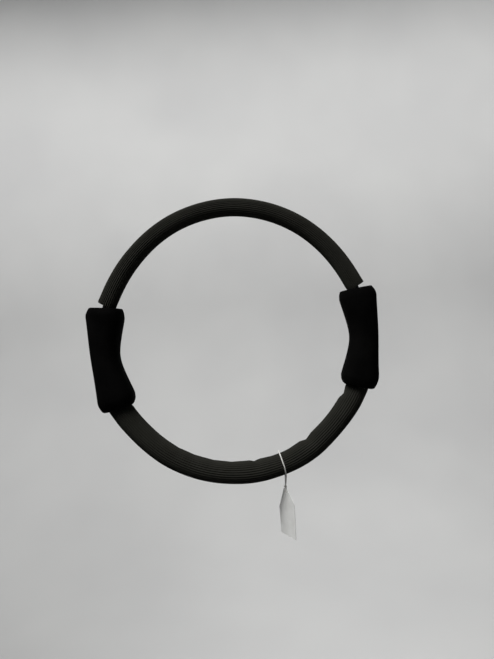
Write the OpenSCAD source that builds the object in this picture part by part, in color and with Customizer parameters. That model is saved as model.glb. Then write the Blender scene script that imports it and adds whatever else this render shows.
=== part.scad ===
// Exercise resistance ring: two spring steel bands in plastic sheaths make the ring, two foam
// sleeves cover it, two moulded foam grips cover the joints, and a strung swing tag hangs below.
// The ring hangs in the XZ plane from the inner underside of its upper sleeve, at the origin.

/* [Ring] */
// Radius of the ring's middle line
ring_r = 170; // [165:1:175]
// Width of each spring steel band, across the ring
band_w = 14; // [12:0.5:14.5]
// Thickness of each spring steel band
band_t = 1.7; // [1.4:0.1:1.8]
// Wall of the plastic sheath round each band
sheath_wall = 1.3; // [1:0.1:1.4]

/* [Foam sleeves] */
// Diameter of the upper sleeve
upper_sleeve_d = 23; // [22:0.5:25]
// Diameter of the lower sleeve, which is bunched up shorter and so fatter
lower_sleeve_d = 29; // [27:0.5:30]
// Angle from the top to each cut end of the upper sleeve
upper_sleeve_half = 70.3; // [67:0.1:70.4]

/* [Grips] */
// Angle by which both grips sit below the ring's middle
grip_drop = 3.1; // [0:0.1:4]
// Length from the middle of a grip to the middle of its top face
grip_up = 63.5; // [62:0.5:64]
// Length from the middle of a grip to the middle of its bottom face
grip_down = 65.5; // [64:0.5:67]
// Distance from the ring's middle line out to the palm face
palm_v = 15; // [14.5:0.5:17]
// Distance from the ring's middle line in to the waist
waist_v = 21; // [20:0.1:23]
// Radius of the hollow along the waist
waist_r = 92; // [90:0.5:130]
// Half length of that hollow
waist_half = 46; // [44:1:52]
// Depth of a grip at its waist, across the ring
waist_depth = 42; // [38:1:46]
// Depth of a grip at its flared ends
flare_depth = 49; // [44:1:52]

/* [Grip core] */
// Angle from the middle of a grip to each end of its core
core_half = 17; // [16.5:0.1:17.5]
// Thickness of the core, along the ring's radius
core_t = 22; // [20:0.5:24]
// Width of the core, across the ring
core_w = 30; // [27:0.5:32]
// Radius of the core's rounded corners, about the band
core_corner_r = 17; // [15:0.5:18]

/* [Fasteners] */
// Radius of a rivet's shank
rivet_r = 2; // [1.5:0.1:2.2]
// Radius of a screw's shank
screw_r = 1.75; // [1.5:0.05:2]

/* [Swing tag] */
// Width of the card
card_w = 35; // [30:1:40]
// Height of the card
card_h = 61.5; // [50:0.5:62]
// Thickness of the card
card_t = 0.6; // [0.4:0.1:0.8]
// Angle that the card is turned about its string, away from square on
card_turn = 60; // [40:1:75]
// Diameter of the string
string_d = 1.6; // [1:0.1:1.8]

/* [Hidden] */
$fn = 64;

foam_black = [0.07, 0.07, 0.065];
grip_black = [0.04, 0.04, 0.04];
sheath_black = [0.02, 0.02, 0.02];
core_grey = [0.16, 0.16, 0.17];
spring_steel = [0.42, 0.43, 0.45];
zinc = [0.72, 0.73, 0.74];
paper_white = [0.9, 0.9, 0.88];

// The hang point is the origin, so the ring's middle is below it.
ring_z = -(ring_r - upper_sleeve_d / 2);
foam_gap = 0.3;       // round a hidden piece in its foam, and between moving neighbours
running_gap = 0.05;   // round a shank in its hole
band_gap = 0.3;       // between the two lapped bands

// Both bands lap inside the grips: the upper band lies outside the lower one.
band_shift = (band_t + band_gap) / 2;
upper_band_r = ring_r + band_shift;
lower_band_r = ring_r - band_shift;
lap_half = 13.5;
sheath_start = 15.3;
sheath_w = band_w + 2 * sheath_wall;
sheath_t = band_t + 2 * sheath_wall;

// Channels through the core and the foam
channel_t = 2 * band_t + band_gap + 2 * foam_gap;
channel_w = band_w + 2 * foam_gap;
mouth_t = sheath_t + 2 * band_shift + 2 * foam_gap;
mouth_w = sheath_w + 2 * foam_gap;
mouth_start = sheath_start - 0.4;

// Rivets and screws, by their angle from the middle of the grip
rivet_angles = [-4.5, 4.5];
screw_angles = [-11, 11];
rivet_head_r = 3.6;
rivet_head_h = 1.3;
screw_head_r = 3.2;
screw_head_h = 2.2;
screw_head_sink = 2.8;
screw_tip = 8;         // how far a screw goes past the band, into the inner shell
pocket_wall = 2.5;
pocket_w = 17;

// Grip foam
grip_top_slope = 0.165;      // the end faces spread outward by this much a millimetre
grip_bottom_slope = 0.16;
grip_top_round = 7;
grip_bottom_round = 12;
palm_round = 17;
flare_v = -(waist_v + waist_r - sqrt(waist_r * waist_r - waist_half * waist_half));
grip_middle_v = (palm_v + flare_v) / 2;
corner_steps = 6;

// The loop of string lies in the cross-section of the lower sleeve at this angle from the bottom.
loop_angle = 16.6;
hole_drop = 7.5;       // from the knot down to the hole in the card
card_hole_r = 2.4;
card_hole_from_top = 4.5;
card_top_w = 7;
card_left_cut = 25;    // how far down the longer corner cut goes
card_right_cut = 16.5;
knot_r = 1.9;

// Knot to card hole and back, up the back of the sleeve, over it and down its front to the knot.
// Each point is [outward from the ring, towards the back, along the ring] from the sleeve's middle.
string_points = [
    [29.2, 0.5, -7.7], [31.2, 1.4, -7.6], [34, 1.7, -8.2], [35.8, 1.2, -9.2],
    [36.4, 0, -9.7], [35.8, -1.2, -10], [34, -1.7, -9.7], [31.2, -1.6, -8.9],
    [29.2, 0.4, -7.6], [26.5, 2.6, -6.2],
    [20, 6.5, -3.5], [14, 10.3, -1.3], [8, 14.1, 0], [4, 15.7, 0.6], [0, 16.1, 0.8],
    [-4, 15.7, 0.8], [-8, 14.1, 0.9], [-11.6, 11.6, 1], [-14.1, 8, 1.1], [-15.7, 4, 1.2],
    [-16.1, 0, 1.3], [-15.7, -4, 1.4], [-14.1, -8, 1.4], [-11.6, -11.6, 1.4], [-8, -14.1, 1.3],
    [-4, -15.7, 1.2], [0, -16.1, 1.1], [4, -15.7, 0.8], [8, -14.1, 0.1], [14, -10.3, -1.3],
    [20, -6.5, -3.5], [26, -2.6, -6.1], [29.2, -0.5, -7.7]];

function unit(v) = v / norm(v);

// Frames

// The ring's own frame: its middle is the origin and Y is its axis.
module on_ring() {
    translate([0, 0, ring_z]) children();
}

// A frame turned so that X points outward at an angle above the +X side.
module at_angle(a) {
    on_ring() rotate([0, -a, 0]) children();
}

// The right grip's frame: X outward from the ring's middle line, Z up along the grip.
module on_grip() {
    at_angle(-grip_drop) translate([ring_r, 0, 0]) children();
}

module left_side() {
    mirror([1, 0, 0]) children();
}

// A flat bar bent round the ring between two angles above the +X side.
module ring_bar(r, t, w, a0, a1) {
    on_ring() rotate([90, 0, 0]) rotate([0, 0, a0])
        rotate_extrude(angle = a1 - a0)
            translate([r - t / 2, -w / 2]) square([t, w]);
}

// A round bar bent round the ring between two angles.
module ring_tube(d, a0, a1) {
    on_ring() rotate([90, 0, 0]) rotate([0, 0, a0])
        rotate_extrude(angle = a1 - a0)
            translate([ring_r, 0]) circle(d = d);
}

// A pin along the ring's radius at an angle, between two radii.
module radial_pin(a, r, from_r, to_r) {
    at_angle(a) translate([from_r, 0, 0]) rotate([0, 90, 0]) cylinder(r = r, h = to_r - from_r);
}

// Bands and sheaths

module band_holes() {
    for (a = rivet_angles) {
        radial_pin(-grip_drop + a, rivet_r + running_gap, ring_r - 5, ring_r + 5);
    }
    for (a = screw_angles) {
        radial_pin(-grip_drop + a, screw_r + foam_gap, ring_r - 5, ring_r + 5);
    }
}

module upper_band() {
    color(spring_steel) difference() {
        ring_bar(upper_band_r, band_t, band_w, -grip_drop - lap_half, 180 + grip_drop + lap_half);
        band_holes();
        left_side() band_holes();
    }
}

module lower_band() {
    color(spring_steel) difference() {
        ring_bar(lower_band_r, band_t, band_w, 180 + grip_drop - lap_half,
                 360 - grip_drop + lap_half);
        band_holes();
        left_side() band_holes();
    }
}

module upper_band_sheath() {
    first = sheath_start - grip_drop;
    color(sheath_black) difference() {
        ring_bar(upper_band_r, sheath_t, sheath_w, first, 180 - first);
        ring_bar(upper_band_r, band_t + 0.1, band_w + 0.1, first - 1, 181 - first);
    }
}

module lower_band_sheath() {
    first = sheath_start + grip_drop;
    color(sheath_black) difference() {
        ring_bar(lower_band_r, sheath_t, sheath_w, 180 + first, 360 - first);
        ring_bar(lower_band_r, band_t + 0.1, band_w + 0.1, 179 + first, 361 - first);
    }
}

// Foam sleeves

module upper_foam_sleeve() {
    color(foam_black) difference() {
        ring_tube(upper_sleeve_d, 90 - upper_sleeve_half, 90 + upper_sleeve_half);
        ring_bar(upper_band_r, sheath_t + foam_gap, sheath_w + foam_gap,
                 88 - upper_sleeve_half, 92 + upper_sleeve_half);
    }
}

// Everything above the bottom face of the right grip, less the gap under it.
module above_grip_bottom() {
    on_grip() translate([grip_middle_v, 0, -grip_down - foam_gap - 0.1])
        rotate([0, atan(grip_bottom_slope), 0]) translate([-60, -30, 0]) cube([120, 60, 60]);
}

module lower_foam_sleeve() {
    first = 20 + grip_drop;
    color(foam_black) difference() {
        ring_tube(lower_sleeve_d, 180 + first, 360 - first);
        ring_bar(lower_band_r, sheath_t + 2 * foam_gap, sheath_w + 2 * foam_gap,
                 179 + first, 361 - first);
        above_grip_bottom();
        left_side() above_grip_bottom();
    }
}

// Grips

// The points of a corner at p, between its neighbours a and b, rounded to a radius
function rounded_corner(a, p, b, r) =
    let (u = unit(a - p), w = unit(b - p), half = acos(u * w) / 2,
         middle = p + unit(u + w) * r / sin(half),
         from = p + u * r / tan(half) - middle, to = p + w * r / tan(half) - middle)
    [for (i = [0 : corner_steps])
        let (q = (180 - 2 * half) * i / corner_steps, k = sin(180 - 2 * half))
        middle + (from * sin(180 - 2 * half - q) + to * sin(q)) / k];

function rounded_outline(pts, radii) =
    let (n = len(pts))
    [for (i = [0 : n - 1])
        each rounded_corner(pts[(i + n - 1) % n], pts[i], pts[(i + 1) % n], radii[i])];

// The radius of a shallow hollow, from its depth and half its length
function hollow_r(depth, half) = (half * half + depth * depth) / (2 * depth);

// The side of the grip: straight palm face, and end faces that spread outward
module grip_side() {
    top = function (v) grip_up + grip_top_slope * (v - grip_middle_v);
    bottom = function (v) -grip_down - grip_bottom_slope * (v - grip_middle_v);
    rotate([90, 0, 0]) linear_extrude(flare_depth + 2, center = true)
        polygon(rounded_outline(
            [[palm_v, bottom(palm_v)], [palm_v, top(palm_v)],
             [flare_v, top(flare_v)], [flare_v, bottom(flare_v)]],
            [grip_bottom_round, grip_top_round, grip_top_round, grip_bottom_round]));
}

// The front of the grip: rounded ends, and a shallow hollow down each side
module grip_front() {
    hollow = hollow_r((flare_depth - waist_depth) / 2, waist_half);
    rotate([90, 0, 90]) linear_extrude(200, center = true) difference() {
        polygon(rounded_outline(
            [[flare_depth / 2, -grip_down - 3], [flare_depth / 2, grip_up + 2],
             [-flare_depth / 2, grip_up + 2], [-flare_depth / 2, -grip_down - 3]],
            [grip_bottom_round, grip_top_round, grip_top_round, grip_bottom_round]));
        for (s = [-1, 1]) {
            translate([s * (waist_depth / 2 + hollow), 0]) circle(r = hollow, $fn = 360);
        }
    }
}

// A bar along the grip with its palm side rounded
module grip_palm() {
    linear_extrude(200, center = true)
        polygon(rounded_outline(
            [[palm_v, flare_depth / 2], [-80, flare_depth / 2],
             [-80, -flare_depth / 2], [palm_v, -flare_depth / 2]],
            [palm_round, 1, 1, palm_round]));
}

// A bar bent round the middle of the waist's hollow, with its inner side rounded
module grip_waist() {
    translate([-waist_v - waist_r, 0, 0]) rotate([90, 0, 0]) rotate([0, 0, -40])
        rotate_extrude(angle = 80)
            polygon(rounded_outline(
                [[waist_r, -flare_depth / 2], [waist_r + 80, -flare_depth / 2],
                 [waist_r + 80, flare_depth / 2], [waist_r, flare_depth / 2]],
                [palm_round, 1, 1, palm_round]));
}

module grip_foam() {
    color(grip_black) difference() {
        on_grip() intersection() {
            grip_side();
            grip_front();
            grip_palm();
            grip_waist();
        }
        core_block(foam_gap, core_half + 0.2);
        ring_bar(ring_r, mouth_t, mouth_w, -grip_drop - 30, -grip_drop + 30);
    }
}

// The outside of both core shells together, grown by a gap
module core_block(gap, half) {
    intersection() {
        ring_bar(ring_r, core_t + 2 * gap, core_w + 2 * gap, -grip_drop - half, -grip_drop + half);
        ring_tube(2 * (core_corner_r + gap), -grip_drop - half - 1, -grip_drop + half + 1);
    }
}

// The channel for the lapped bands, its wider mouths and the rivet heads' room
module core_channel() {
    ring_bar(ring_r, channel_t, channel_w, -grip_drop - core_half - 1, -grip_drop + core_half + 1);
    for (first = [-core_half - 1, mouth_start]) {
        ring_bar(ring_r, mouth_t, mouth_w, -grip_drop + first,
                 -grip_drop + first + core_half + 1 - mouth_start);
    }
    for (a = rivet_angles) {
        radial_pin(-grip_drop + a, rivet_head_r + foam_gap, ring_r - 4, ring_r + 4);
    }
}

// Moulded pockets that keep the shell walls thin, between the screws
module core_pockets(side) {
    depth = core_t / 2 - 4 - pocket_wall;
    for (a = [-4.2, 4.2]) {
        ring_bar(ring_r + side * (core_t / 2 - depth / 2 + 0.5), depth + 1, pocket_w,
                 -grip_drop + a - 3.4, -grip_drop + a + 3.4);
    }
}

module core_inner() {
    color(core_grey) difference() {
        core_block(0, core_half);
        ring_bar(ring_r + core_t / 2, core_t, core_w + 2, -grip_drop - 20, -grip_drop + 20);
        core_channel();
        core_pockets(-1);
        for (a = screw_angles) {
            radial_pin(-grip_drop + a, screw_r + running_gap, ring_r - screw_tip - 0.5, ring_r + 1);
        }
    }
}

module core_outer() {
    color(core_grey) difference() {
        core_block(0, core_half);
        ring_bar(ring_r - core_t / 2, core_t, core_w + 2, -grip_drop - 20, -grip_drop + 20);
        core_channel();
        core_pockets(1);
        for (a = screw_angles) {
            radial_pin(-grip_drop + a, screw_r + foam_gap, ring_r - 1, ring_r + core_t);
            radial_pin(-grip_drop + a, screw_head_r + foam_gap,
                       ring_r + core_t / 2 - screw_head_sink, ring_r + core_t);
        }
    }
}

// A domed head whose flat side sits at the origin, and which points along X
module domed_head(r, h) {
    dome_r = (r * r + h * h) / (2 * h);
    rotate([0, 90, 0]) intersection() {
        translate([0, 0, h - dome_r]) sphere(r = dome_r);
        cylinder(r = r, h = h);
    }
}

module band_rivets() {
    grip_stack = band_shift + band_t / 2 + 0.15;
    color(zinc) for (a = rivet_angles) {
        radial_pin(-grip_drop + a, rivet_r, ring_r - grip_stack - 0.1, ring_r + grip_stack + 0.1);
        at_angle(-grip_drop + a) {
            translate([ring_r + grip_stack, 0, 0]) domed_head(rivet_head_r, rivet_head_h);
            translate([ring_r - grip_stack, 0, 0]) mirror([1, 0, 0])
                domed_head(rivet_head_r, rivet_head_h);
        }
    }
}

module core_screws() {
    head_r = ring_r + core_t / 2 - screw_head_sink;
    color(zinc) for (a = screw_angles) {
        radial_pin(-grip_drop + a, screw_r, ring_r - screw_tip, head_r + 0.1);
        at_angle(-grip_drop + a) translate([head_r, 0, 0]) difference() {
            domed_head(screw_head_r, screw_head_h);
            for (turn = [0, 90]) {
                rotate([turn, 0, 0]) translate([screw_head_h - 1.1, -1.8, -0.35])
                    cube([2, 3.6, 0.7]);
            }
        }
    }
}

// Swing tag

// A point given as outward, back and along, measured from the lower sleeve's middle line
function loop_point(p) =
    let (s = sin(loop_angle), c = cos(loop_angle), r = ring_r + p[0])
    [r * s + p[2] * c, p[1], ring_z - r * c + p[2] * s];

function route_tangent(pts, i) =
    unit(pts[min(i + 1, len(pts) - 1)] - pts[max(i - 1, 0)]);

// Side directions carried along the route without twisting
function carried_sides(pts, i = 0, last = [0, 0, 0]) =
    i == len(pts) ? [] :
    let (t = route_tangent(pts, i),
         seed = i == 0 ? cross(t, [1, 0.2, 0]) : last - t * (last * t),
         s = unit(seed))
    concat([s], carried_sides(pts, i + 1, s));

// Triangles that join rows of points into a closed tube; each row goes round once.
function tube_faces(rows, n) = concat(
    [[for (j = [0 : n - 1]) j]],
    [for (i = [0 : rows - 2], j = [0 : n - 1])
        let (k = (j + 1) % n) [i * n + j, (i + 1) * n + j, (i + 1) * n + k]],
    [for (i = [0 : rows - 2], j = [0 : n - 1])
        let (k = (j + 1) % n) [i * n + j, (i + 1) * n + k, i * n + k]],
    [[for (j = [n - 1 : -1 : 0]) (rows - 1) * n + j]]);

module swept_tube(pts, d, sides) {
    side = carried_sides(pts);
    polyhedron(
        points = [for (i = [0 : len(pts) - 1])
            let (t = route_tangent(pts, i), up = cross(t, side[i]))
            for (j = [0 : sides - 1])
                let (q = -360 * j / sides)
                pts[i] + d / 2 * (cos(q) * side[i] + sin(q) * up)],
        faces = tube_faces(len(pts), sides));
}

module tag_string() {
    color(paper_white) swept_tube([for (p = string_points) loop_point(p)], string_d, 8);
}

knot_at = loop_point([29.2, 0, -7.6]);

module tag_knot() {
    color(paper_white) translate(knot_at) sphere(r = knot_r, $fn = 32);
}

// The card hangs straight down from the knot, turned so that its right edge is nearer the front.
module tag_card() {
    top = card_hole_from_top;
    low = top - card_h;
    color(paper_white) translate([knot_at[0], 0, knot_at[2] - hole_drop])
        rotate([0, 0, -card_turn]) rotate([90, 0, 0]) linear_extrude(card_t, center = true)
            difference() {
                polygon([[-card_w / 2, low], [card_w / 2, low],
                         [card_w / 2, top - card_right_cut], [card_top_w / 2, top],
                         [-card_top_w / 2, top], [-card_w / 2, top - card_left_cut]]);
                circle(r = card_hole_r);
            }
}

upper_foam_sleeve();
upper_band_sheath();
upper_band();
lower_foam_sleeve();
lower_band_sheath();
lower_band();
left_side() grip_foam();  // left_grip_foam
left_side() core_inner();  // left_core_inner
left_side() core_outer();  // left_core_outer
left_side() band_rivets();  // left_band_rivets
left_side() core_screws();  // left_core_screws
grip_foam();  // right_grip_foam
core_inner();  // right_core_inner
core_outer();  // right_core_outer
band_rivets();  // right_band_rivets
core_screws();  // right_core_screws
tag_string();
tag_knot();
tag_card();
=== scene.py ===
"""The looks of an exercise resistance ring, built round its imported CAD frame. Metres throughout."""

import math

import bmesh
import bpy
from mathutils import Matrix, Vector


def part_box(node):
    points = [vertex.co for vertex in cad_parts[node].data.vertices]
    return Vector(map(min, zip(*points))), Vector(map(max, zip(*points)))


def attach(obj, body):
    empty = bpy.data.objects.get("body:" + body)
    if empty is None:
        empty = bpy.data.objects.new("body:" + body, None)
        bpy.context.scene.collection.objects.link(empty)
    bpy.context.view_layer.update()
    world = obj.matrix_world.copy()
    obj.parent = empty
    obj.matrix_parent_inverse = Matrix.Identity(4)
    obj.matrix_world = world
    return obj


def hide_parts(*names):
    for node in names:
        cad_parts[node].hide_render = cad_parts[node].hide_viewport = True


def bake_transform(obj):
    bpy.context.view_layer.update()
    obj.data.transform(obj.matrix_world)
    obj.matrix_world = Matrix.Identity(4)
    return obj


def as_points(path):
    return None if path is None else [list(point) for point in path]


MM = 0.001

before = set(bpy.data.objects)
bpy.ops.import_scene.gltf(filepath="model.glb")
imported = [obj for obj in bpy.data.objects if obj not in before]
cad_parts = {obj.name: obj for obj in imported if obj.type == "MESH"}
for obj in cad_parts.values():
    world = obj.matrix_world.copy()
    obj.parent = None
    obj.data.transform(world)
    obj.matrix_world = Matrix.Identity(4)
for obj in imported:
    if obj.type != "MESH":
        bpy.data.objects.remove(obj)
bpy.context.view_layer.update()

# ---------------------------------------------------------------- sizes read from the frame


def centre_of(node):
    low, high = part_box(node)
    return (Vector(low) + Vector(high)) / 2


def size_of(node):
    low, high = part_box(node)
    return Vector(high) - Vector(low)


UPPER_D = size_of("upper_foam_sleeve").y
LOWER_D = size_of("lower_foam_sleeve").y
# The middle line's highest and lowest points.
LINE_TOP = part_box("upper_foam_sleeve")[1][2] - UPPER_D / 2
LINE_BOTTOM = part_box("lower_foam_sleeve")[0][2] + LOWER_D / 2
RING_R = (LINE_TOP - LINE_BOTTOM) / 2
RING_Z = LINE_TOP - RING_R
RING = Vector((0, 0, RING_Z))
KNOT = centre_of("tag_knot")

# The grips sit this far below the ring's middle, and the lower sleeve's tag this far round.
GRIP_DROP = math.radians(3.1)
LOOP_ANGLE = math.radians(16.6)
SHEATH = Vector((4.3, 16.6)) * MM
BAND = Vector((1.7, 14.0)) * MM
BAND_SHIFT = 1.0 * MM
SHEATH_START = math.radians(15.3)
LAP = math.radians(13.5)

# ---------------------------------------------------------------- camera, light and stage

CAMERA_DISTANCE = 0.642
CAMERA_ROLL = math.radians(4.9)
CAMERA_OFFSET = (0.0165, 0.0142)  # right of and above the ring's middle, in the picture
LENS = 27.2


def make_camera():
    data = bpy.data.cameras.new("camera")
    data.lens = LENS
    data.sensor_width = 36.0
    data.clip_start = 0.01
    data.clip_end = 50.0
    camera = bpy.data.objects.new("camera", data)
    bpy.context.scene.collection.objects.link(camera)
    c, s = math.cos(CAMERA_ROLL), math.sin(CAMERA_ROLL)
    right, up = Vector((c, 0, -s)), Vector((s, 0, c))
    camera.location = (
        RING + right * CAMERA_OFFSET[0] + up * CAMERA_OFFSET[1] - Vector((0, CAMERA_DISTANCE, 0))
    )
    camera.rotation_euler = (math.radians(90), CAMERA_ROLL, 0)
    bpy.context.scene.camera = camera


def area_light(name, place, target, size, power, spread=180):
    data = bpy.data.lights.new(name, "AREA")
    data.shape = "RECTANGLE"
    data.size, data.size_y = size
    data.energy = power
    data.spread = math.radians(spread)
    light = bpy.data.objects.new(name, data)
    light.location = place
    light.rotation_euler = (Vector(target) - Vector(place)).to_track_quat("-Z", "Y").to_euler()
    bpy.context.scene.collection.objects.link(light)


FLOOR_Z = -1.25
WALL_Y = 2.7
SWEEP_R = 1.3


def make_stage():
    """A pale floor that sweeps up into a far pale wall."""
    profile = [(-6.0, FLOOR_Z)]
    for i in range(17):
        a = math.radians(90 * i / 16)
        profile.append(
            (WALL_Y - SWEEP_R + SWEEP_R * math.sin(a), FLOOR_Z + SWEEP_R - SWEEP_R * math.cos(a))
        )
    profile.append((WALL_Y, 5.0))
    verts = [(x, y, z) for y, z in profile for x in (-7.0, 7.0)]
    faces = [(2 * i, 2 * i + 1, 2 * i + 3, 2 * i + 2) for i in range(len(profile) - 1)]
    mesh = bpy.data.meshes.new("floor")
    mesh.from_pydata(verts, [], faces)
    mesh.polygons.foreach_set("use_smooth", [True] * len(faces))
    floor = bpy.data.objects.new("floor", mesh)
    bpy.context.scene.collection.objects.link(floor)
    material, nodes, links, shader = new_material("pale_floor")
    shader.inputs["Roughness"].default_value = 0.9
    tint = colour_noise(nodes, links, 1.4, (0.60, 0.60, 0.595), (0.66, 0.66, 0.65), detail=2.0)
    links.new(tint, shader.inputs["Base Color"])
    mesh.materials.append(material)


def make_light():
    world = bpy.data.worlds.new("world")
    bpy.context.scene.world = world
    world.use_nodes = True
    background = world.node_tree.nodes["Background"]
    background.inputs["Color"].default_value = (0.93, 0.96, 1.0, 1)
    background.inputs["Strength"].default_value = 0.08
    area_light("key", (-0.50, -0.64, 1.16), (0, 0, -0.16), (0.9, 0.7), 5.2, spread=60)
    area_light("wall_wash", (0, 1.0, 2.4), (0, 2.7, -0.2), (7.0, 0.8), 74, spread=120)
    view = bpy.context.scene.view_settings
    view.view_transform = "Standard"
    view.look = "None"
    view.exposure = 0.0


# ---------------------------------------------------------------- materials


def new_material(name):
    material = bpy.data.materials.new(name)
    material.use_nodes = True
    nodes, links = material.node_tree.nodes, material.node_tree.links
    return material, nodes, links, nodes["Principled BSDF"]


def object_coordinates(nodes):
    found = nodes.get("place")
    if found is None:
        found = nodes.new("ShaderNodeTexCoord")
        found.name = "place"
    return found.outputs["Object"]


def noise(nodes, links, scale, detail=3.0, rough=0.5, vector=None):
    node = nodes.new("ShaderNodeTexNoise")
    node.inputs["Scale"].default_value = scale
    node.inputs["Detail"].default_value = detail
    node.inputs["Roughness"].default_value = rough
    links.new(vector or object_coordinates(nodes), node.inputs["Vector"])
    return node.outputs["Fac"]


def mapped(nodes, links, value, low, high, from_low=0.3, from_high=0.7):
    node = nodes.new("ShaderNodeMapRange")
    node.inputs["From Min"].default_value = from_low
    node.inputs["From Max"].default_value = from_high
    node.inputs["To Min"].default_value = low
    node.inputs["To Max"].default_value = high
    links.new(value, node.inputs["Value"])
    return node.outputs["Result"]


def mixed(nodes, links, factor, first, second):
    """A colour between two, each a colour or a socket."""
    node = nodes.new("ShaderNodeMix")
    node.data_type = "RGBA"
    links.new(factor, node.inputs["Factor"])
    for socket, value in ((node.inputs[6], first), (node.inputs[7], second)):
        if hasattr(value, "is_output"):
            links.new(value, socket)
        else:
            socket.default_value = (*value, 1)
    return node.outputs[2]


def colour_noise(nodes, links, scale, first, second, detail=3.0):
    return mixed(nodes, links, mapped(nodes, links, noise(nodes, links, scale, detail), 0, 1),
                 first, second)


def bumped(nodes, links, shader, height, strength, distance, below=None):
    node = nodes.new("ShaderNodeBump")
    node.inputs["Strength"].default_value = strength
    node.inputs["Distance"].default_value = distance
    links.new(height, node.inputs["Height"])
    if below is not None:
        links.new(below, node.inputs["Normal"])
    links.new(node.outputs["Normal"], shader.inputs["Normal"])
    return node.outputs["Normal"]


def cells(nodes, links, scale):
    node = nodes.new("ShaderNodeTexVoronoi")
    node.feature = "F1"
    node.inputs["Scale"].default_value = scale
    links.new(object_coordinates(nodes), node.inputs["Vector"])
    return node.outputs["Distance"]


def foam_material(name, dark, light, dust, cell_scale, pit, roughness, gloss):
    """Closed-cell foam: a dull skin, tiny pits, faint rubbed patches and a little dust."""
    material, nodes, links, shader = new_material(name)
    patches = colour_noise(nodes, links, 38, dark, light, detail=4.0)
    specks = mapped(nodes, links, noise(nodes, links, 900, 2.0), 0, 0.5, 0.66, 0.8)
    links.new(mixed(nodes, links, specks, patches, dust), shader.inputs["Base Color"])
    links.new(
        mapped(nodes, links, noise(nodes, links, 120, 3.0), *roughness), shader.inputs["Roughness"]
    )
    shader.inputs["Specular IOR Level"].default_value = gloss
    first = bumped(nodes, links, shader, cells(nodes, links, cell_scale), pit, 0.12 * MM)
    bumped(nodes, links, shader, noise(nodes, links, 260, 4.0), 0.25, 0.25 * MM, first)
    return material


def plastic_material(name, dark, light, roughness):
    material, nodes, links, shader = new_material(name)
    links.new(colour_noise(nodes, links, 60, dark, light), shader.inputs["Base Color"])
    links.new(
        mapped(nodes, links, noise(nodes, links, 340, 3.0), *roughness), shader.inputs["Roughness"]
    )
    bumped(nodes, links, shader, noise(nodes, links, 1500, 2.0), 0.2, 0.05 * MM)
    return material


def metal_material(name, dark, light, roughness, grain=(400, 400, 400)):
    material, nodes, links, shader = new_material(name)
    shader.inputs["Metallic"].default_value = 1.0
    stretch = nodes.new("ShaderNodeMapping")
    stretch.inputs["Scale"].default_value = grain
    links.new(object_coordinates(nodes), stretch.inputs["Vector"])
    streaks = noise(nodes, links, 1.0, 4.0, 0.6, stretch.outputs["Vector"])
    links.new(
        mixed(nodes, links, mapped(nodes, links, streaks, 0, 1), dark, light),
        shader.inputs["Base Color"],
    )
    links.new(mapped(nodes, links, streaks, *roughness), shader.inputs["Roughness"])
    bumped(nodes, links, shader, streaks, 0.15, 0.03 * MM)
    return material


def paper_material():
    material, nodes, links, shader = new_material("card_paper")
    links.new(
        colour_noise(nodes, links, 90, (0.70, 0.70, 0.675), (0.78, 0.78, 0.76), 5.0),
        shader.inputs["Base Color"],
    )
    links.new(mapped(nodes, links, noise(nodes, links, 200), 0.75, 0.9), shader.inputs["Roughness"])
    shader.inputs["Specular IOR Level"].default_value = 0.25
    fibres = noise(nodes, links, 2400, 4.0, 0.7)
    bumped(nodes, links, shader, fibres, 0.3, 0.06 * MM)
    return material


def string_material():
    material, nodes, links, shader = new_material("string_cotton")
    links.new(
        colour_noise(nodes, links, 700, (0.62, 0.61, 0.57), (0.80, 0.79, 0.76), 3.0),
        shader.inputs["Base Color"],
    )
    shader.inputs["Roughness"].default_value = 0.88
    shader.inputs["Sheen Weight"].default_value = 0.3
    shader.inputs["Sheen Roughness"].default_value = 0.5
    bumped(nodes, links, shader, noise(nodes, links, 5000, 3.0, 0.7), 0.5, 0.08 * MM)
    return material


MATERIALS = {
    "sleeve_foam": lambda: foam_material(
        "sleeve_foam", (0.0165, 0.0164, 0.0134), (0.0212, 0.0210, 0.0174), (0.05, 0.05, 0.043),
        1500, 0.35, (0.78, 0.9), 0.06),
    "grip_foam": lambda: foam_material(
        "grip_foam", (0.0012, 0.0012, 0.0012), (0.0028, 0.0027, 0.0026), (0.012, 0.012, 0.011),
        1100, 0.5, (0.88, 0.98), 0.02),
    "sheath": lambda: plastic_material(
        "sheath_plastic", (0.006, 0.006, 0.006), (0.010, 0.010, 0.010), (0.38, 0.5)),
    "spring_steel": lambda: metal_material(
        "spring_steel", (0.30, 0.31, 0.33), (0.42, 0.43, 0.45), (0.28, 0.42), (300, 4000, 300)),
    "core": lambda: plastic_material(
        "core_plastic", (0.030, 0.030, 0.033), (0.040, 0.040, 0.044), (0.5, 0.65)),
    "zinc": lambda: metal_material("zinc", (0.55, 0.56, 0.58), (0.70, 0.71, 0.72), (0.3, 0.45)),
    "card": paper_material,
    "string": string_material,
}
_made = {}


def material_for(slot):
    if slot not in _made:
        _made[slot] = MATERIALS[slot]()
    return _made[slot]


# ---------------------------------------------------------------- mesh helpers


def make_object(name, verts, faces, smooth=True):
    mesh = bpy.data.meshes.new(name)
    mesh.from_pydata([tuple(v) for v in verts], [], [tuple(f) for f in faces])
    mesh.update()
    work = bmesh.new()
    work.from_mesh(mesh)
    bmesh.ops.recalc_face_normals(work, faces=work.faces)
    work.to_mesh(mesh)
    work.free()
    mesh.polygons.foreach_set("use_smooth", [smooth] * len(mesh.polygons))
    obj = bpy.data.objects.new(name, mesh)
    bpy.context.scene.collection.objects.link(obj)
    return obj


def finish_piece(obj, slot):
    obj.data.materials.clear()
    obj.data.materials.append(material_for(slot))


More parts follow.
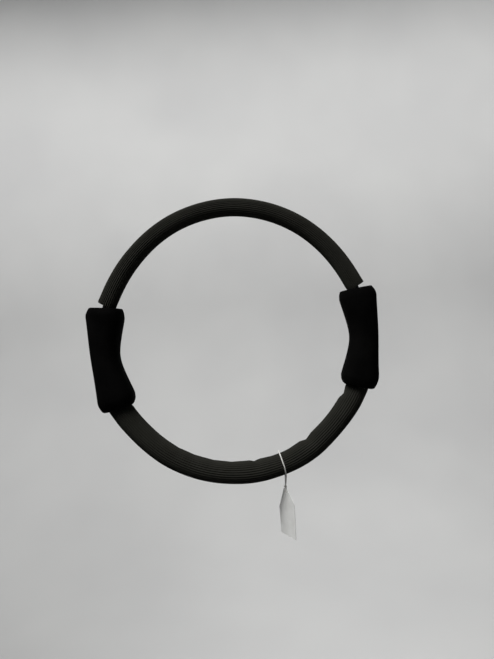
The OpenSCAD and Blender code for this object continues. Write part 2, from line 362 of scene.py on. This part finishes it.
def sharpen(obj, degrees=35):
    """Keeps edges sharper than an angle sharp, in the mesh itself."""
    work = bmesh.new()
    work.from_mesh(obj.data)
    limit = math.radians(degrees)
    for edge in work.edges:
        if len(edge.link_faces) == 2 and edge.calc_face_angle(0.0) > limit:
            edge.smooth = False
    work.to_mesh(obj.data)
    work.free()


def closed_tube(rings_out, rings_in):
    """Vertices and faces of a thick tube: outer rings, inner rings, and flat ends between them.

    All rings have the same number of points. The first outer and inner rings share an end."""
    n = len(rings_out[0])
    verts = [p for ring in rings_out for p in ring] + [p for ring in rings_in for p in ring]
    first_in = n * len(rings_out)
    faces = []
    for i in range(len(rings_out) - 1):
        for j in range(n):
            k = (j + 1) % n
            faces.append((i * n + j, (i + 1) * n + j, (i + 1) * n + k, i * n + k))
    for i in range(len(rings_in) - 1):
        for j in range(n):
            k = (j + 1) % n
            a = first_in + i * n
            faces.append((a + j, a + k, a + n + k, a + n + j))
    last_out, last_in = n * (len(rings_out) - 1), first_in + n * (len(rings_in) - 1)
    for j in range(n):
        k = (j + 1) % n
        faces.append((j, k, first_in + k, first_in + j))
        faces.append((last_out + j, last_in + j, last_in + k, last_out + k))
    return verts, faces


def solid_tube(rings):
    n = len(rings[0])
    verts = [p for ring in rings for p in ring]
    faces = [
        (i * n + j, (i + 1) * n + j, (i + 1) * n + (j + 1) % n, i * n + (j + 1) % n)
        for i in range(len(rings) - 1)
        for j in range(n)
    ]
    faces.append(tuple(range(n)))
    faces.append(tuple(reversed(range(n * (len(rings) - 1), n * len(rings)))))
    return verts, faces


def on_ring(angle, out, across):
    """A point of the ring: angle above the +X side, metres outside the middle line, metres along +Y."""
    r = RING_R + out
    return Vector((r * math.cos(angle), across, RING_Z + r * math.sin(angle)))


# ---------------------------------------------------------------- foam sleeves

RIBS = 30
POINTS_PER_RIB = 8
RIB_DEPTH = 1.05 * MM
RING_STEP = 2.2 * MM
INNER_EVERY = 6  # the plain hole needs only one ring for this many of the outside
CUT_ROUNDING, CUT_ROUNDED = 0.3 * MM, 0.2 * MM  # how far the cut edge draws in, and within what
HOLE_ROOM = 0.25 * MM
HOLE_POWER = 0.32  # below 1, the smaller the squarer the hole's corners


def rib_height(q):
    """The skin's height above the rib tops, zero or less, at an angle round the tube."""
    return -RIB_DEPTH * (1 - abs(math.cos(RIBS * q / 2)))


def follow(points, x):
    """The height at x of a smooth line through (x, height) points."""
    if x <= points[0][0]:
        return points[0][1]
    if x >= points[-1][0]:
        return points[-1][1]
    i = next(k for k in range(len(points) - 1) if x <= points[k + 1][0])
    (x0, y0), (x1, y1) = points[i], points[i + 1]

    def steepness(k):
        if k in (0, len(points) - 1):
            return 0.0
        (xa, ya), (xb, yb) = points[k - 1], points[k + 1]
        return (yb - ya) / (xb - xa)

    h = x1 - x0
    t = (x - x0) / h
    return (
        y0 * (1 + 2 * t) * (1 - t) ** 2 + y1 * t * t * (3 - 2 * t)
        + h * steepness(i) * t * (1 - t) ** 2 - h * steepness(i + 1) * t * t * (1 - t)
    )


def slot_outline(n, shift):
    """The hole for the sheath: a flat rounded slot as n points, starting on its outer side."""
    half_t, half_w = SHEATH.x / 2 + HOLE_ROOM, SHEATH.y / 2 + HOLE_ROOM
    points = []
    for j in range(n):
        c, s = math.cos(2 * math.pi * j / n), math.sin(2 * math.pi * j / n)
        points.append((
            shift + half_t * math.copysign(abs(c) ** HOLE_POWER, c),
            half_w * math.copysign(abs(s) ** HOLE_POWER, s),
        ))
    return points


def sleeve_piece(name, start, end, skin, shift, settle):
    """Half a sleeve of ribbed foam tube, from its seam at start to its cut end.

    skin(degrees, q) gives the middle's wander outward and the tube's radius there, in metres.
    settle(point, left) moves points near the cut end; left is the length still to go."""
    n = RIBS * POINTS_PER_RIB
    length = abs(end - start) * RING_R
    steps = round(length / RING_STEP)
    hole = slot_outline(n, shift)
    out_rings, in_rings = [], []
    for i in range(steps + 1):
        angle = start + (end - start) * i / steps
        left = length * (1 - i / steps)
        degrees = math.degrees(angle)
        ring = []
        for j in range(n):
            q = 2 * math.pi * j / n
            wander, r = skin(degrees, q)
            r += rib_height(q) - (CUT_ROUNDING if left < CUT_ROUNDED else 0.0)
            p = on_ring(angle, wander + r * math.cos(q), r * math.sin(q))
            ring.append(settle(p, left))
        out_rings.append(ring)
        if i % INNER_EVERY == 0 or i == steps:
            in_rings.append([settle(on_ring(angle, a, b), left) for a, b in hole])
    obj = make_object(name, *closed_tube(out_rings, in_rings))
    sharpen(obj, 60)
    finish_piece(obj, "sleeve_foam")
    return obj


def smoothstep(t):
    t = min(1.0, max(0.0, t))
    return t * t * (3 - 2 * t)


# How far the upper sleeve's middle lies outside a true circle, and how much fatter it is than the
# CAD tube, by degrees above the +X side. It is drawn up where it hangs and in at the left.
UPPER_WANDER = [
    (19, 1.6), (21, 0.8), (24, 0.2), (32, -0.3), (44, 0.0), (56, 0.8), (70, 1.4), (86, 1.8),
    (98, 1.2), (112, 0.3), (122, -0.7), (132, -1.7), (140, -1.9), (149, -1.6), (156, -0.8), (161, 0.2),
]
UPPER_EXTRA = [(20, 0.4), (28, 0.25), (60, 0.15), (95, 0.1), (125, 0.25), (145, 0.5), (160, 0.6)]


def upper_skin(degrees, q):
    return (
        follow(UPPER_WANDER, degrees) * MM,
        UPPER_D / 2 + follow(UPPER_EXTRA, degrees) * MM,
    )


# The lower sleeve is bunched up. Its outer and inner edges by degrees above the +X side, as
# millimetres outside the ring's circle, and the folds that pinch its inner side: where, how wide
# before and after, and how deep.
LOWER_OUTER = [
    (-156, 15.8), (-152, 15.0), (-149, 14.3), (-144, 13.4), (-138, 13.2), (-131, 13.6), (-125, 14.2),
    (-118, 14.4), (-108, 14.6), (-95, 14.6), (-88, 14.9), (-83, 14.8), (-77, 14.4), (-65, 14.3),
    (-60, 13.9), (-56, 13.3), (-53, 12.6), (-48, 11.9), (-44, 11.8), (-39, 12.1), (-35, 12.6),
    (-28, 13.2),
]
LOWER_INNER = [
    (-156, -14.4), (-149, -14.95), (-142, -15.5), (-137, -15.55), (-131, -15.2), (-125, -14.7),
    (-118, -14.45), (-110, -14.1), (-101, -13.8), (-90, -14.0), (-81, -13.9), (-74, -13.4),
    (-69, -13.5), (-64, -14.6), (-57, -15.1), (-52, -16.0), (-46, -16.3), (-38, -16.4),
    (-33, -16.1), (-28, -15.4),
]
FOLDS = [
    (-121.9, 2.6, 2.2, 0.5), (-113.9, 2.4, 2.4, 0.35), (-104.4, 2.5, 2.0, 0.4),
    (-95.9, 3.0, 3.0, 0.55), (-85.1, 2.4, 2.6, 2.1), (-76.9, 2.0, 2.4, 0.3),
    (-58.5, 3.2, 3.6, 2.8), (-30.2, 3.4, 3.0, 2.6),
]
FOLD_LEAN = 1.6  # degrees along the ring
FOLD_REACH = 0.15  # how far past the sides the folds run on, as a cosine round the tube


def fold_depth(degrees, q):
    """How far the folds pinch in: sharp creases on the inner side that lean a little round it."""
    inner = max(0.0, FOLD_REACH - math.cos(q)) / (1 + FOLD_REACH)
    depth = 0.0
    for centre, before, after, deep in FOLDS:
        d = degrees - centre + FOLD_LEAN * math.sin(q)
        d = -d / before if d < 0 else d / after
        if d < 1:
            depth += deep * (1 - d) ** 1.15 * inner**1.4
    return depth


def lower_skin(degrees, q):
    degrees -= 360 * round((degrees + 90) / 360)
    outer, inner = follow(LOWER_OUTER, degrees), follow(LOWER_INNER, degrees)
    return (outer + inner) / 2 * MM, ((outer - inner) / 2 - fold_depth(degrees, q)) * MM


# ---------------------------------------------------------------- where sleeves meet the grips

# In a grip's own frame: its palm side, how far in its waist lies, and where its end faces' heights
# are measured.
PALM_V, WAIST_V, MIDDLE_V = 14.9 * MM, 20.9 * MM, -9.2 * MM
TOP_SLOPE = 0.167
SEAT_GAP = 0.3 * MM
# The grips differ slightly in length and in how their lower ends have settled on the sleeve.
GRIP_UP = {"left": 64.5 * MM, "right": 62.4 * MM}
GRIP_DOWN = {"left": 66.4 * MM, "right": 64.5 * MM}
BOTTOM_SLOPE = {"left": 0.14, "right": 0.20}
# Each end of the upper sleeve is cut a little off square: its outer corner, and the cut's slope.
CUT_CORNER = {"left": (-3.8 * MM, 73.2 * MM), "right": (-1.0 * MM, 70.9 * MM)}
CUT_SLOPE = {"left": 0.70, "right": 0.61}
SIGN = {"left": -1, "right": 1}
SETTLE_LENGTH = 16 * MM
WAY_STEP = 0.01  # radians


def to_grip(p, sign):
    """A point in a grip's own frame: (outward, across, up along the grip)."""
    x, z = sign * p.x, p.z - RING_Z
    c, s = math.cos(GRIP_DROP), math.sin(GRIP_DROP)
    return Vector((x * c - z * s - RING_R, p.y, x * s + z * c))


def from_grip(p, sign):
    c, s = math.cos(GRIP_DROP), math.sin(GRIP_DROP)
    v = p.x + RING_R
    return Vector((sign * (v * c + p.z * s), p.y, RING_Z - v * s + p.z * c))


def run_to(g, way, level, slope, v0):
    """How far g travels along way to reach the line level + slope * (v - v0)."""
    return (level + slope * (g.x - v0) - g.z) / (way.z - slope * way.x)


def settle_on(side, start, end, limits):
    """Makes the settle function of a half sleeve: its cut end moves along the tube to the nearest
    of some lines, each (level, slope, v0), and the last stretch follows smoothly."""
    sign = SIGN[side]
    before = end + math.copysign(WAY_STEP, start - end)
    way = to_grip(on_ring(end, 0, 0), sign) - to_grip(on_ring(before, 0, 0), sign)
    way.normalize()

    def settle(p, left):
        if left >= SETTLE_LENGTH:
            return p
        g = to_grip(p, sign)
        ahead = g + way * left
        run = min(run_to(ahead, way, *line) for line in limits)
        return from_grip(g + way * (run * smoothstep(1 - left / SETTLE_LENGTH)), sign)

    return settle


UPPER_END = math.radians(22.8)
LOWER_END = math.radians(24.0)


def end_angle(side, above_grip):
    """A ring angle given from a grip's middle, on that side."""
    a = above_grip - GRIP_DROP
    return a if side == "right" else math.pi - a


def make_upper_sleeve():
    pieces = {}
    for side in SIGN:
        end = end_angle(side, UPPER_END)
        corner = CUT_CORNER[side]
        limits = [
            (GRIP_UP[side] + SEAT_GAP, TOP_SLOPE, MIDDLE_V),
            (corner[1], CUT_SLOPE[side], corner[0]),
        ]
        start = math.pi / 2
        settle = settle_on(side, start, end, limits)
        pieces[side] = sleeve_piece(
            f"upper_sleeve_{side}", start, end, upper_skin, BAND_SHIFT, settle)
    return pieces


def make_lower_sleeve():
    pieces = {}
    for side in SIGN:
        end = end_angle(side, -LOWER_END)
        limits = [(-GRIP_DOWN[side] - SEAT_GAP, -BOTTOM_SLOPE[side], MIDDLE_V)]
        start = -math.pi / 2 if side == "right" else 3 * math.pi / 2
        settle = settle_on(side, start, end, limits)
        pieces[side] = sleeve_piece(
            f"lower_sleeve_{side}", start, end, lower_skin, -BAND_SHIFT, settle)
    return pieces


# ---------------------------------------------------------------- bands and sheaths


def bar_section(size, radius, steps=5):
    """A flat rounded section as (outward, across) points."""
    points = []
    for cx, cy, a0 in ((1, 1, 0), (-1, 1, 90), (-1, -1, 180), (1, -1, 270)):
        for i in range(steps):
            a = math.radians(a0 + 90 * i / (steps - 1))
            points.append((
                cx * (size.x / 2 - radius) + radius * math.cos(a),
                cy * (size.y / 2 - radius) + radius * math.sin(a),
            ))
    return points


def bar_piece(name, start, end, size, radius, shift, slot):
    section = bar_section(size, radius)
    steps = max(4, round(abs(end - start) * RING_R / (3 * MM)))
    rings = []
    for i in range(steps + 1):
        angle = start + (end - start) * i / steps
        rings.append([on_ring(angle, shift + a, b) for a, b in section])
    obj = make_object(name, *solid_tube(rings))
    sharpen(obj, 50)
    finish_piece(obj, slot)
    return obj


RIVET_ANGLES = [math.radians(a) for a in (-4.5, 4.5)]
SCREW_ANGLES = [math.radians(a) for a in (-11.0, 11.0)]
DRILL_R, DRILL_DEPTH = 2.05 * MM, 12 * MM


def cylinder(name, radius, depth, segments):
    """An upright cylinder to cut with."""
    work = bmesh.new()
    bmesh.ops.create_cone(
        work, cap_ends=True, segments=segments, radius1=radius, radius2=radius, depth=depth)
    mesh = bpy.data.meshes.new(name)
    work.to_mesh(mesh)
    work.free()
    obj = bpy.data.objects.new(name, mesh)
    bpy.context.scene.collection.objects.link(obj)
    return obj


def drill_band(obj, sign):
    """The holes for the rivets and screws at one end of a band."""
    for angle in RIVET_ANGLES + SCREW_ANGLES:
        a = angle - GRIP_DROP
        if sign < 0:
            a = math.pi - a
        middle, outward = on_ring(a, 0, 0), on_ring(a, 0.01, 0) - on_ring(a, 0, 0)
        drill = cylinder("drill", DRILL_R, DRILL_DEPTH, 32)
        drill.location = middle
        drill.rotation_euler = outward.to_track_quat("Z", "Y").to_euler()
        cut(obj, drill)


def cut(obj, cutter):
    """Subtracts a cutter object from a piece, and removes the cutter."""
    modifier = obj.modifiers.new("cut", "BOOLEAN")
    modifier.operation = "DIFFERENCE"
    modifier.solver = "EXACT"
    modifier.object = cutter
    bpy.context.view_layer.update()
    apply_modifiers(obj)
    mesh = cutter.data
    bpy.data.objects.remove(cutter)
    bpy.data.meshes.remove(mesh)


def apply_modifiers(obj):
    graph = bpy.context.evaluated_depsgraph_get()
    made = bpy.data.meshes.new_from_object(obj.evaluated_get(graph))
    old = obj.data
    obj.modifiers.clear()
    obj.data = made
    bpy.data.meshes.remove(old)


def make_bands():
    """Half bands and half sheaths, by (row, side)."""
    pieces = {}
    for side, sign in SIGN.items():
        def at(angle):
            """An angle given for the right side, on this side."""
            return angle if sign > 0 else math.pi - angle

        top, bottom = math.pi / 2, -math.pi / 2
        lower_mid = bottom if sign > 0 else 3 * math.pi / 2
        for row, mid, far, start, shift in (
            ("upper", top, -GRIP_DROP - LAP, SHEATH_START - GRIP_DROP, BAND_SHIFT),
            ("lower", lower_mid, -GRIP_DROP + LAP, -SHEATH_START - GRIP_DROP, -BAND_SHIFT),
        ):
            band = bar_piece(
                f"{row}_band_{side}", mid, at(far), BAND, 0.4 * MM, shift, "spring_steel")
            drill_band(band, sign)
            finish_piece(band, "spring_steel")
            sheath = bar_piece(
                f"{row}_sheath_{side}", mid, at(start), SHEATH, 1.2 * MM, shift, "sheath")
            pieces[row, side] = (band, sheath)
    return pieces


# ---------------------------------------------------------------- foam grips

GRIP_STEPS = 110
GRIP_POINTS = 112
GRIP_POWER = 2 / 2.5  # 1 would make a grip's section an ellipse; less makes it squarer
# How the sides curve in towards each end face: depth of the curve along the grip, and how far in
# at the face, for the palm side, the waist side and the front and back.
TOP_CURVE = {"palm": (12.8, 6.1), "waist": (5.5, 1.3), "front": (9.0, 3.2)}
BOTTOM_CURVE = {
    "left": {"palm": (14.0, 5.3), "waist": (9.0, 4.2), "front": (13.0, 5.0)},
    "right": {"palm": (18.0, 7.0), "waist": (7.5, 3.5), "front": (13.0, 5.0)},
}
TOP_FILLET, BOTTOM_FILLET = 0.9, 2.2


def palm_line(u):
    return PALM_V - 1.1 * MM * smoothstep(abs(u - 6 * MM) / (44 * MM))


# How steeply the inner side flares below and above the waist, and how rounded its hollow is.
WAIST_SLOPES = {"left": (0.318, 0.305), "right": (0.316, 0.290)}
WAIST_ROUND = (4.8 * MM, 3.9 * MM)


def waist_line(u, side):
    """The inner side: nearly straight flanks that meet in a rounded hollow."""
    half = 1 if u > 0 else 0
    rounding = WAIST_ROUND[half]
    h = min(abs(u), 52 * MM)
    hollow = math.hypot(rounding, WAIST_SLOPES[side][half] * h) - rounding
    ease = max(0.0, abs(u) - 46 * MM) / (6 * MM)
    return -(WAIST_V + hollow) + 0.35 * MM * min(1.0, ease) ** 2


def half_depth(u):
    return (20.6 + 3.4 * smoothstep(abs(u) / (51 * MM))) * MM


def curve_in(d, curve, fillet):
    """How far a side has come in at a distance d from the end face, in millimetres."""
    reach, inward = curve
    amount = inward * (1 - d / reach) ** 1.7 if d < reach else 0.0
    if d < fillet:
        amount += fillet - math.sqrt(fillet**2 - (fillet - d) ** 2)
    return amount * MM


def grip_ring(u, side):
    """The outline of a grip at a height, in the grip's own frame."""
    up, down = GRIP_UP[side], GRIP_DOWN[side]
    to_top, to_bottom = (up - u) / MM, (u + down) / MM
    inset = {
        where: curve_in(to_top, TOP_CURVE[where], TOP_FILLET)
        + curve_in(to_bottom, BOTTOM_CURVE[side][where], BOTTOM_FILLET)
        for where in TOP_CURVE
    }
    outer, inner = palm_line(u) - inset["palm"], waist_line(u, side) + inset["waist"]
    middle, a, b = (outer + inner) / 2, (outer - inner) / 2, half_depth(u) - inset["front"]
    slope = TOP_SLOPE * smoothstep(u / up) if u > 0 else -BOTTOM_SLOPE[side] * smoothstep(-u / down)
    ring = []
    for j in range(GRIP_POINTS):
        c, s = math.cos(2 * math.pi * j / GRIP_POINTS), math.sin(2 * math.pi * j / GRIP_POINTS)
        v = middle + a * math.copysign(abs(c) ** GRIP_POWER, c)
        y = b * math.copysign(abs(s) ** GRIP_POWER, s)
        ring.append(Vector((v, y, u + slope * (v - MIDDLE_V))))
    return ring


def grip_heights(side):
    """Heights of the grip's rows, closer together towards the end faces."""
    near = [0.0, 0.07, 0.2, 0.4, 0.65, 0.95, 1.35, 1.8, 2.4, 3.1, 4.0, 5.0, 6.2, 7.5]
    low, high = -GRIP_DOWN[side], GRIP_UP[side]
    first, last = low + 8.6 * MM, high - 8.6 * MM
    middle = [first + (last - first) * i / GRIP_STEPS for i in range(GRIP_STEPS + 1)]
    return [low + d * MM for d in near] + middle + [high - d * MM for d in reversed(near)]


def make_grip(side):
    sign = SIGN[side]
    rings = [grip_ring(u, side) for u in grip_heights(side)]

    def face(ring, dish):
        """Rows that carry an end face in towards its middle, very slightly dished."""
        middle = sum(ring, Vector()) / len(ring) + Vector((0, 0, dish))
        return [[p.lerp(middle, t) for p in ring] for t in (0.12, 0.3, 0.5, 0.7, 0.88)]

    rings = (
        list(reversed(face(rings[0], 0.4 * MM))) + rings + face(rings[-1], -0.4 * MM)
    )
    rings = [[from_grip(p, sign) for p in ring] for ring in rings]
    obj = make_object(f"{side}_grip", *solid_tube(rings))
    core = grip_cutter("core_cutter", CORE_HALF, CORE_SIZE, CORE_ROUND, sign)
    passage = grip_cutter("passage_cutter", PASSAGE_HALF, PASSAGE_SIZE, PASSAGE_ROUND, sign)
    for cutter in (core, passage):
        cut(obj, cutter)
    sharpen(obj, 50)
    finish_piece(obj, "grip_foam")
    return obj


# Half the angle that the hole for the core, and the passage for the bands, take up round the ring.
CORE_HALF, PASSAGE_HALF = math.radians(17.2), math.radians(28)
CORE_SIZE, CORE_ROUND = Vector((22.6, 30.6)) * MM, 2.5 * MM
PASSAGE_SIZE, PASSAGE_ROUND = Vector((7.0, 17.2)) * MM, 1.5 * MM
CUTTER_STEP = math.radians(2)


def grip_cutter(name, half, size, radius, sign):
    """A bent bar to cut out of a grip, half an angle to each side of the grip's middle."""
    start, end = -GRIP_DROP - half, -GRIP_DROP + half
    section = bar_section(size, radius)
    count = max(2, round(abs(end - start) / CUTTER_STEP))
    rings = []
    for i in range(count + 1):
        a = start + (end - start) * i / count
        if sign < 0:
            a = math.pi - a
        rings.append([on_ring(a, p, b) for p, b in section])
    return make_object(name, *solid_tube(rings))


# ---------------------------------------------------------------- swing tag

# The string's route, the same points as the CAD tube: outward from the ring, towards the back and
# along the ring, in millimetres from the middle of the lower sleeve at the loop.
STRING_POINTS = [
    (29.2, 0.5, -7.7), (31.2, 1.4, -7.6), (34, 1.7, -8.2), (35.8, 1.2, -9.2),
    (36.4, 0, -9.7), (35.8, -1.2, -10), (34, -1.7, -9.7), (31.2, -1.6, -8.9),
    (29.2, 0.4, -7.6), (26.5, 2.6, -6.2),
    (20, 6.5, -3.5), (14, 10.3, -1.3), (8, 14.1, 0), (4, 15.7, 0.6), (0, 16.1, 0.8),
    (-4, 15.7, 0.8), (-8, 14.1, 0.9), (-11.6, 11.6, 1), (-14.1, 8, 1.1), (-15.7, 4, 1.2),
    (-16.1, 0, 1.3), (-15.7, -4, 1.4), (-14.1, -8, 1.4), (-11.6, -11.6, 1.4), (-8, -14.1, 1.3),
    (-4, -15.7, 1.2), (0, -16.1, 1.1), (4, -15.7, 0.8), (8, -14.1, 0.1), (14, -10.3, -1.3),
    (20, -6.5, -3.5), (26, -2.6, -6.1), (29.2, -0.5, -7.7),
]
STRING_D = 1.6 * MM


def loop_point(p):
    s, c = math.sin(LOOP_ANGLE), math.cos(LOOP_ANGLE)
    r = RING_R + p[0] * MM
    return Vector((r * s + p[2] * MM * c, p[1] * MM, RING_Z - r * c + p[2] * MM * s))


def smooth_line(points, per_span):
    """A Catmull-Rom curve through points."""
    pts = [points[0] * 2 - points[1]] + list(points) + [points[-1] * 2 - points[-2]]
    line = []
    for i in range(1, len(pts) - 2):
        a, b, c, d = pts[i - 1 : i + 3]
        for k in range(per_span):
            t = k / per_span
            line.append(0.5 * (
                2 * b + (c - a) * t + (2 * a - 5 * b + 4 * c - d) * t**2
                + (3 * b - a - 3 * c + d) * t**3))
    return line + [points[-1]]


def carried_frames(line):
    """Tangent and two side directions at each point, carried along without twisting."""
    frames, side = [], None
    for i, p in enumerate(line):
        t = (line[min(i + 1, len(line) - 1)] - line[max(i - 1, 0)]).normalized()
        if side is None:
            side = t.cross(Vector((1, 0.2, 0)))
        side = (side - t * side.dot(t)).normalized()
        frames.append((t, side, t.cross(side)))
    return frames


def twisted_cord(name, line, diameter, plies=3, turn_length=4.2 * MM, sides=8):
    """Plies wound round a line: one mesh, closed at both ends."""
    frames = carried_frames(line)
    ply_r = diameter * 0.27
    orbit = diameter / 2 - ply_r
    verts, faces = [], []
    for ply in range(plies):
        along, rings = 0.0, []
        for i, p in enumerate(line):
            if i:
                along += (line[i] - line[i - 1]).length
            a = 2 * math.pi * (along / turn_length + ply / plies)
            _, u, v = frames[i]
            middle = p + (u * math.cos(a) + v * math.sin(a)) * orbit
            rings.append([
                middle + (u * math.cos(b) + v * math.sin(b)) * ply_r
                for b in (2 * math.pi * j / sides for j in range(sides))])
        v2, f2 = solid_tube(rings)
        shift = len(verts)
        verts += v2
        faces += [tuple(k + shift for k in f) for f in f2]
    return make_object(name, verts, faces)


def knot_line():
    """A small overhand knot about the string, as a trefoil stretched down the string."""
    line = []
    for i in range(90):
        a = 2 * math.pi * i / 90
        line.append(KNOT + Vector((
            (math.sin(a) + 2 * math.sin(2 * a)) * 0.50,
            -math.sin(3 * a) * 0.75,
            (math.cos(a) - 2 * math.cos(2 * a)) * 0.52,
        )) * MM)
    return line + [line[0].copy()]


def make_string():
    line = smooth_line([loop_point(p) for p in STRING_POINTS], 10)
    string = twisted_cord("tag_string_yarn", line, STRING_D)
    finish_piece(string, "string")
    knot = twisted_cord("tag_knot_yarn", knot_line(), 1.3 * MM, sides=6)
    finish_piece(knot, "string")
    return string, line, knot


CARD_TURN = math.radians(60)
CARD_SHIFT = -0.4 * MM  # the card hangs a little to one side of its string
CARD_W, CARD_H = 35 * MM, 61.5 * MM
CARD_T = 0.45 * MM
CARD_COLUMNS, CARD_ROWS = 14, 25
CARD_TOP_W = 7 * MM
CARD_LEFT_CUT, CARD_RIGHT_CUT = 27 * MM, 15 * MM
HOLE_DROP, HOLE_FROM_TOP, HOLE_R = 7.5 * MM, 4.5 * MM, 2 * MM


def card_outline():
    """The card's outline from its hole's centre, with slightly rounded corners."""
    top = HOLE_FROM_TOP
    low = top - CARD_H
    corners = [
        (-CARD_W / 2, low, 1.2), (CARD_W / 2, low, 3.0), (CARD_W / 2, top - CARD_RIGHT_CUT, 2.0),
        (CARD_TOP_W / 2, top, 1.0), (-CARD_TOP_W / 2, top, 1.0), (-CARD_W / 2, top - CARD_LEFT_CUT, 2.0),
    ]
    points = []
    for i, (x, z, r) in enumerate(corners):
        p = Vector((x, z))
        a = (Vector(corners[i - 1][:2]) - p).normalized()
        b = (Vector(corners[(i + 1) % len(corners)][:2]) - p).normalized()
        half = a.angle(b) / 2
        reach = r * MM / math.tan(half)
        first, last = p + a * reach, p + b * reach
        for k in range(6):
            t = k / 5
            points.append((1 - t) ** 2 * first + 2 * t * (1 - t) * p + t * t * last)
    return points


def card_place(x, z, off):
    """A point of the bent card: x across it, z up from its hole, off through its thickness."""
    drop = (HOLE_FROM_TOP - z) / CARD_H
    aside = x / (CARD_W / 2)
    curl = 0.45 * MM * aside**2 * (0.4 + drop) - 0.35 * MM * math.sin(drop * 3.0)
    curl += 1.2 * MM * max(0.0, aside) ** 3 * drop**2
    local = Vector((x + CARD_SHIFT, -(off + curl)))
    c, s = math.cos(-CARD_TURN), math.sin(-CARD_TURN)
    return Vector((
        KNOT.x + local.x * c - local.y * s,
        local.x * s + local.y * c,
        KNOT.z - HOLE_DROP + z,
    ))


def slice_at(work, place, normal):
    bmesh.ops.bisect_plane(
        work, geom=work.verts[:] + work.edges[:] + work.faces[:], plane_co=place, plane_no=normal)


def flat_card():
    """The card before it is bent: a thin slab, meshed as a fine grid so that it can bend."""
    work = bmesh.new()
    work.faces.new([work.verts.new((p.x, p.y, 0)) for p in card_outline()])
    low = HOLE_FROM_TOP - CARD_H
    for i in range(1, CARD_COLUMNS):
        slice_at(work, (-CARD_W / 2 + CARD_W * i / CARD_COLUMNS, 0, 0), (1, 0, 0))
    for i in range(1, CARD_ROWS):
        slice_at(work, (0, low + CARD_H * i / CARD_ROWS, 0), (0, 1, 0))
    thick = bmesh.ops.extrude_face_region(work, geom=work.faces[:])
    for v in thick["geom"]:
        if isinstance(v, bmesh.types.BMVert):
            v.co.z += CARD_T
    bmesh.ops.recalc_face_normals(work, faces=work.faces)
    mesh = bpy.data.meshes.new("tag_card_paper")
    work.to_mesh(mesh)
    work.free()
    obj = bpy.data.objects.new("tag_card_paper", mesh)
    bpy.context.scene.collection.objects.link(obj)
    return obj


def make_card():
    obj = flat_card()
    cut(obj, cylinder("punch", HOLE_R, 6 * MM, 40))
    for v in obj.data.vertices:
        v.co = card_place(v.co.x, v.co.y, v.co.z - CARD_T / 2)
    obj.data.polygons.foreach_set("use_smooth", [True] * len(obj.data.polygons))
    sharpen(obj, 40)
    finish_piece(obj, "card")
    return obj


# ---------------------------------------------------------------- assembly

make_camera()
make_stage()
make_light()

string, string_line, knot = make_string()
card = make_card()
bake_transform(string)
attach(knot, "tag_loop")
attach(card, "tag_card")
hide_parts("tag_string")
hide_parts("tag_knot")
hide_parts("tag_card")
string_length = sum((b - a).length for a, b in zip(string_line, string_line[1:]))
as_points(string_line)

# The top of the ring, and the bottom where the tag hangs, are meant to keep their shape within these
# angles; bend_half reads them but nothing bends.
TOP_STILL, BOTTOM_STILL = math.radians(6), math.radians(17)


def bend_half(obj, row, side):
    """Bakes a half arc's place into its mesh; the angles of its still middle and of the grip that it
    runs into are worked out but not used.
    """
    if row == "upper":
        still = end_angle(side, math.pi / 2 - TOP_STILL + GRIP_DROP)
        meeting = end_angle(side, UPPER_END)
        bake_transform(obj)
    else:
        still = end_angle(side, -math.pi / 2 + BOTTOM_STILL + GRIP_DROP)
        meeting = end_angle(side, -LOWER_END)
        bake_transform(obj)


upper, lower, bars = make_upper_sleeve(), make_lower_sleeve(), make_bands()
for side in SIGN:
    for row, sleeves in (("upper", upper), ("lower", lower)):
        band, sheath = bars[row, side]
        for obj, node in (
            (sleeves[side], f"{row}_foam_sleeve"), (band, f"{row}_band"), (sheath, f"{row}_band_sheath")
        ):
            bend_half(obj, row, side)
            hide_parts(node)

for side in SIGN:
    grip = make_grip(side)
    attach(grip, f"{side}_grip")
    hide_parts(f"{side}_grip_foam")
    for part, slot in (
        ("core_inner", "core"), ("core_outer", "core"), ("band_rivets", "zinc"), ("core_screws", "zinc")
    ):
        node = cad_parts[f"{side}_{part}"]
        node.data.materials.clear()
        node.data.materials.append(material_for(slot))
